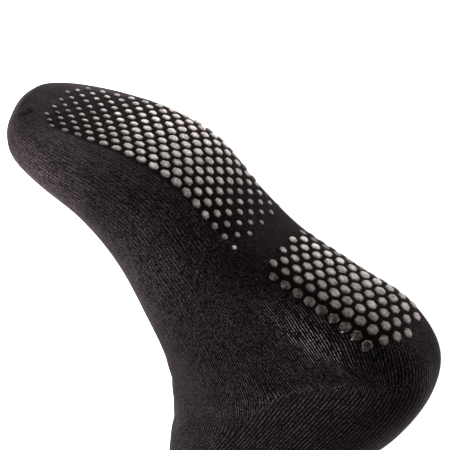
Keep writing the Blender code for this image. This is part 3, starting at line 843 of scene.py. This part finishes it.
def knit_material():
    """Black fine knit: dark grooves, charcoal wales broken by streaks and specks, thin lines and soft sheen,
    paler or darker by place as rubbed wear with painted light and shade, and painted shade between the dots
    and in the toe notch.
    """
    made = bpy.data.materials.new("black_knit")
    made.use_nodes = True
    tree = made.node_tree
    shader = tree.nodes["Principled BSDF"]
    shader.inputs["Roughness"].default_value = 0.9
    shader.inputs["Specular IOR Level"].default_value = 0.03
    shader.inputs["Sheen Weight"].default_value = 0.15
    shader.inputs["Sheen Roughness"].default_value = 0.35
    shader.inputs["Sheen Tint"].default_value = SHEEN
    counts = add_node(tree, "ShaderNodeUVMap", (-1600, 0), uv_map="stitches")
    knit = add_node(tree, "ShaderNodeGroup", (-1350, 0), node_tree=stitch_group())
    tree.links.new(counts.outputs["UV"], knit.inputs["Stitches"])
    paired = add_node(tree, "ShaderNodeAttribute", (-1600, 200), attribute_name="paired")
    tree.links.new(paired.outputs["Fac"], knit.inputs["Paired"])
    lines = add_node(tree, "ShaderNodeAttribute", (-1350, 450), attribute_name="lines")
    stretched = add_node(tree, "ShaderNodeAttribute", (-1350, -300), attribute_name="stretched")
    notch = add_node(tree, "ShaderNodeAttribute", (-1350, -450), attribute_name="notch")
    coordinates = add_node(tree, "ShaderNodeTexCoord", (-1600, -650))
    cloud = add_node(tree, "ShaderNodeTexNoise", (-1350, -650))
    cloud.inputs["Scale"].default_value = 60.0
    cloud.inputs["Detail"].default_value = 3.0
    tree.links.new(coordinates.outputs["Object"], cloud.inputs["Vector"])
    # printed: painted shade on the knit between the dots
    printed = add_node(tree, "ShaderNodeAttribute", (-1350, -850), attribute_name="printed")
    streak = do_math(tree, "MULTIPLY_ADD", knit.outputs["Streak"], 0.7, (-1100, 100), 0.65)
    speck = do_math(tree, "MULTIPLY_ADD", knit.outputs["Speck"], 4.2, (-1100, -50), -0.95)
    speck = do_math(tree, "MAXIMUM", speck, 0.0, (-1000, -50))
    grain = add_node(tree, "ShaderNodeAttribute", (-1350, 650), attribute_name="grain")
    speck = do_math(tree, "SUBTRACT", speck, SPECK_MIDDLE, (-950, -50))
    speck = do_math(tree, "MULTIPLY_ADD", speck, grain.outputs["Fac"], (-900, -50), SPECK_MIDDLE)
    patch = do_math(tree, "MULTIPLY_ADD", cloud.outputs["Fac"], 0.8, (-1100, -650), 0.6)
    # Painted shade between the dots dims the yarn
    gap_shade_dim = do_math(tree, "MULTIPLY_ADD", printed.outputs["Fac"], -0.80, (-1100, -850), 1.0)
    yarn = do_math(tree, "SUBTRACT", knit.outputs["Height"], YARN_MIDDLE, (-1050, 250))
    yarn = do_math(tree, "MULTIPLY_ADD", yarn, lines.outputs["Fac"], (-950, 250), YARN_MIDDLE)
    yarn = do_math(tree, "MULTIPLY", yarn, streak, (-900, 50))
    yarn = do_math(tree, "MULTIPLY", yarn, speck, (-750, 50))
    yarn = do_math(tree, "MULTIPLY", yarn, patch, (-600, 50))
    yarn = do_math(tree, "MULTIPLY", yarn, gap_shade_dim, (-500, 50))
    # nap: partly rubbed wear, partly painted light at the toe and ball and painted shade under the foot, at
    # the heel and in the rib
    nap_and_light = add_node(tree, "ShaderNodeAttribute", (-1350, -1000), attribute_name="nap_and_light")
    yarn = do_math(tree, "MULTIPLY", yarn, nap_and_light.outputs["Fac"], (-450, -50))
    yarn = do_math(tree, "MULTIPLY", yarn, YARN_SHARE, (-420, -50))
    colour = mix_colour(tree, yarn, GROOVE_BLACK, YARN_PALE, (-400, 100))
    # Painted shade between the dots mixes in a near black
    base = do_math(tree, "MULTIPLY", printed.outputs["Fac"], 0.75, (-400, -850))
    colour = mix_colour(tree, base, colour, GAP_SHADE_BLACK, (-300, 100))
    thin = do_math(tree, "MULTIPLY", knit.outputs["Line"], knit.outputs["Streak"], (-900, -250))
    thin = do_math(tree, "MULTIPLY", thin, stretched.outputs["Fac"], (-750, -250))
    thin = do_math(tree, "MULTIPLY", thin, speck, (-600, -250))
    colour = mix_colour(tree, thin, colour, STRETCHED_PALE, (-200, 50))
    # Painted shade darkens the toe notch's crease
    notch_shade = do_math(tree, "MULTIPLY", notch.outputs["Fac"], 0.6, (-200, -150))
    colour = mix_colour(tree, notch_shade, colour, NOTCH_SHADE_BLACK, (0, 50))
    tree.links.new(colour, shader.inputs["Base Color"])
    bump = add_node(tree, "ShaderNodeBump", (-200, -400))
    bump.inputs["Strength"].default_value = 0.5
    bump.inputs["Distance"].default_value = 0.0004
    tree.links.new(knit.outputs["Height"], bump.inputs["Height"])
    tree.links.new(bump.outputs["Normal"], shader.inputs["Normal"])
    return made


def print_material():
    """Silicone print: pale grey where thick, dark where thin, wrinkled, with a satin gloss; the thickness
    also carries painted light and shade.
    """
    made = bpy.data.materials.new("grey_silicone")
    made.use_nodes = True
    tree = made.node_tree
    shader = tree.nodes["Principled BSDF"]
    shader.inputs["Specular IOR Level"].default_value = 0.06
    shader.inputs["Coat Roughness"].default_value = 0.30
    edge = add_node(tree, "ShaderNodeAttribute", (-1150, 250), attribute_name="edge")
    milky_and_shade = add_node(tree, "ShaderNodeAttribute", (-1150, 0), attribute_name="milky_and_shade")
    coordinates = add_node(tree, "ShaderNodeTexCoord", (-1400, -400))
    wrinkle = add_node(tree, "ShaderNodeTexNoise", (-1150, -300))
    wrinkle.inputs["Scale"].default_value = 480.0
    wrinkle.inputs["Detail"].default_value = 4.0
    wrinkle.inputs["Distortion"].default_value = 0.6
    tree.links.new(coordinates.outputs["Object"], wrinkle.inputs["Vector"])
    fold = add_node(tree, "ShaderNodeMapRange", (-950, -200))
    fold.inputs["From Min"].default_value = 0.35
    fold.inputs["From Max"].default_value = 0.65
    tree.links.new(wrinkle.outputs["Fac"], fold.inputs["Value"])
    body = do_math(tree, "MULTIPLY_ADD", fold.outputs["Result"], 1.1, (-900, -50), 0.535)
    # Milkiness carries print thickness together with painted light and shade
    body = do_math(tree, "MULTIPLY", body, milky_and_shade.outputs["Fac"], (-750, 0))
    # Darker towards the rim: partly thinner print, partly painted shade on the dots' sides
    rim = do_math(tree, "POWER", edge.outputs["Fac"], 4.5, (-900, 250))
    rim = do_math(tree, "MULTIPLY_ADD", rim, -0.85, (-750, 250), 1.0)
    body = do_math(tree, "MULTIPLY", body, rim, (-600, 100))
    # Where the print is thin, its wrinkles and a ring near its rim are painted paler: painted highlights
    crest = do_math(tree, "POWER", fold.outputs["Result"], 2.0, (-600, -280))
    off_edge = do_math(tree, "SUBTRACT", edge.outputs["Fac"], 0.86, (-900, 450))
    ring = do_math(tree, "MULTIPLY", off_edge, off_edge, (-750, 450))
    ring = do_math(tree, "MULTIPLY_ADD", ring, -50.0, (-600, 450), 1.0)
    ring = do_math(tree, "MAXIMUM", ring, 0.0, (-450, 450))
    thin = do_math(tree, "MULTIPLY_ADD", milky_and_shade.outputs["Fac"], -0.75, (-600, 300), 0.140)
    thin = do_math(tree, "MAXIMUM", thin, 0.0, (-450, 300))
    ring = do_math(tree, "MULTIPLY", ring, thin, (-300, 400))
    ring = do_math(tree, "MULTIPLY", ring, crest, (-150, 400))
    body = do_math(tree, "ADD", body, ring, (-450, 100))
    # Painted highlights on the wrinkles of thin dots
    wrinkle_highlight = do_math(tree, "MULTIPLY_ADD", milky_and_shade.outputs["Fac"], -0.60, (-750, -150), 0.105)
    wrinkle_highlight = do_math(tree, "MAXIMUM", wrinkle_highlight, 0.0, (-600, -150))
    wrinkle_highlight = do_math(tree, "MULTIPLY", wrinkle_highlight, crest, (-450, -150))
    body = do_math(tree, "ADD", body, wrinkle_highlight, (-380, 0))
    grey = mix_colour(tree, body, PRINT_DARK, PRINT_GREY, (-300, 100))
    tree.links.new(grey, shader.inputs["Base Color"])
    satin = do_math(tree, "MULTIPLY_ADD", milky_and_shade.outputs["Fac"], -0.20, (-300, -100), 0.55)
    tree.links.new(satin, shader.inputs["Roughness"])
    coat = do_math(tree, "MULTIPLY", milky_and_shade.outputs["Fac"], 0.35, (-300, -200))
    tree.links.new(coat, shader.inputs["Coat Weight"])
    bump = add_node(tree, "ShaderNodeBump", (-400, -300))
    bump.inputs["Strength"].default_value = 0.6
    bump.inputs["Distance"].default_value = 0.0005
    tree.links.new(fold.outputs["Result"], bump.inputs["Height"])
    tree.links.new(bump.outputs["Normal"], shader.inputs["Normal"])
    return made


def floor_material():
    """Plain white paper floor, a little bright of itself like a lit studio sweep."""
    made = bpy.data.materials.new("white_floor")
    made.use_nodes = True
    shader = made.node_tree.nodes["Principled BSDF"]
    shader.inputs["Base Color"].default_value = (0.90, 0.90, 0.90, 1.0)
    shader.inputs["Roughness"].default_value = 0.9
    shader.inputs["Specular IOR Level"].default_value = 0.1
    shader.inputs["Emission Color"].default_value = (1.0, 1.0, 1.0, 1.0)
    shader.inputs["Emission Strength"].default_value = FLOOR_GLOW
    return made


def make_floor():
    """A plain round floor: rings of a disc, radius times cosine and sine."""
    k = np.arange(FLOOR_SIDES)
    angle = k * 2 * math.pi / FLOOR_SIDES
    depth = np.full(FLOOR_SIDES, -FLOOR_DROP)
    rim = np.stack([FLOOR_RADIUS * np.cos(angle), FLOOR_RADIUS * np.sin(angle), depth], axis=1)
    near = rim * np.array([FLOOR_INNER, FLOOR_INNER, 1.0])
    points = np.vstack([near, rim, [[0.0, 0.0, -FLOOR_DROP]]])
    after = (k + 1) % FLOOR_SIDES
    quads = np.stack([k, FLOOR_SIDES + k, FLOOR_SIDES + after, after], axis=1)
    fan = np.stack([np.full(FLOOR_SIDES, 2 * FLOOR_SIDES), k, after], axis=1)
    floor = mesh_object("studio_floor", points, quads, fan)
    floor.data.materials.append(floor_material())


def aim_at(piece, target, roll=0.0):
    """Turn a camera or light at its place so that its -Z axis points at a target, then roll it."""
    way = Vector(target) - piece.location
    turn = way.to_track_quat("-Z", "Y").to_matrix()
    piece.rotation_euler = (turn @ Matrix.Rotation(roll, 3, "Z")).to_euler()


def make_light(name, place, target, width, height, power):
    """A soft rectangular studio light."""
    lamp = bpy.data.lights.new(name, "AREA")
    lamp.shape = "RECTANGLE"
    lamp.size = width
    lamp.size_y = height
    lamp.energy = power
    light = bpy.data.objects.new(name, lamp)
    light.location = place
    bpy.context.scene.collection.objects.link(light)
    aim_at(light, target)


def make_studio():
    """Camera at the photograph's angle, dim even surroundings and three soft lights."""
    scene = bpy.context.scene
    scene.view_settings.view_transform = "Standard"
    world = bpy.data.worlds.new("white_surroundings")
    world.use_nodes = True
    world.node_tree.nodes["Background"].inputs["Color"].default_value = (1.0, 0.99, 0.98, 1.0)
    world.node_tree.nodes["Background"].inputs["Strength"].default_value = SURROUNDINGS
    scene.world = world
    for light in LIGHTS:
        make_light(*light)
    camera_data = bpy.data.cameras.new("photo_camera")
    camera_data.sensor_width = SENSOR
    camera_data.sensor_fit = "HORIZONTAL"
    camera_data.lens = CAMERA_LENS
    camera_data.clip_end = 20.0
    camera = bpy.data.objects.new("photo_camera", camera_data)
    level = math.cos(CAMERA_ELEVATION)
    east = level * math.cos(CAMERA_AZIMUTH)
    north = level * math.sin(CAMERA_AZIMUTH)
    way = Vector((east, north, math.sin(CAMERA_ELEVATION)))
    camera.location = Vector(CAMERA_AIM) + CAMERA_DISTANCE * way
    scene.collection.objects.link(camera)
    aim_at(camera, CAMERA_AIM, -CAMERA_ROLL)
    scene.camera = camera


def main():
    """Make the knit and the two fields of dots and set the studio."""
    knit = knit_material()
    silicone = print_material()
    sock = make_sock()
    sock.data.materials.append(knit)
    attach(sock, "root")
    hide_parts("sock_body")
    for seed, (node, field) in enumerate(FIELDS.items()):
        dots = make_dots(node.replace("grip", "dots"), field, DOT_REACH[node], FIRST_SEED + seed)
        dots.data.materials.append(silicone)
        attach(dots, "root")
        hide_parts(node)
    make_floor()
    make_studio()


main()
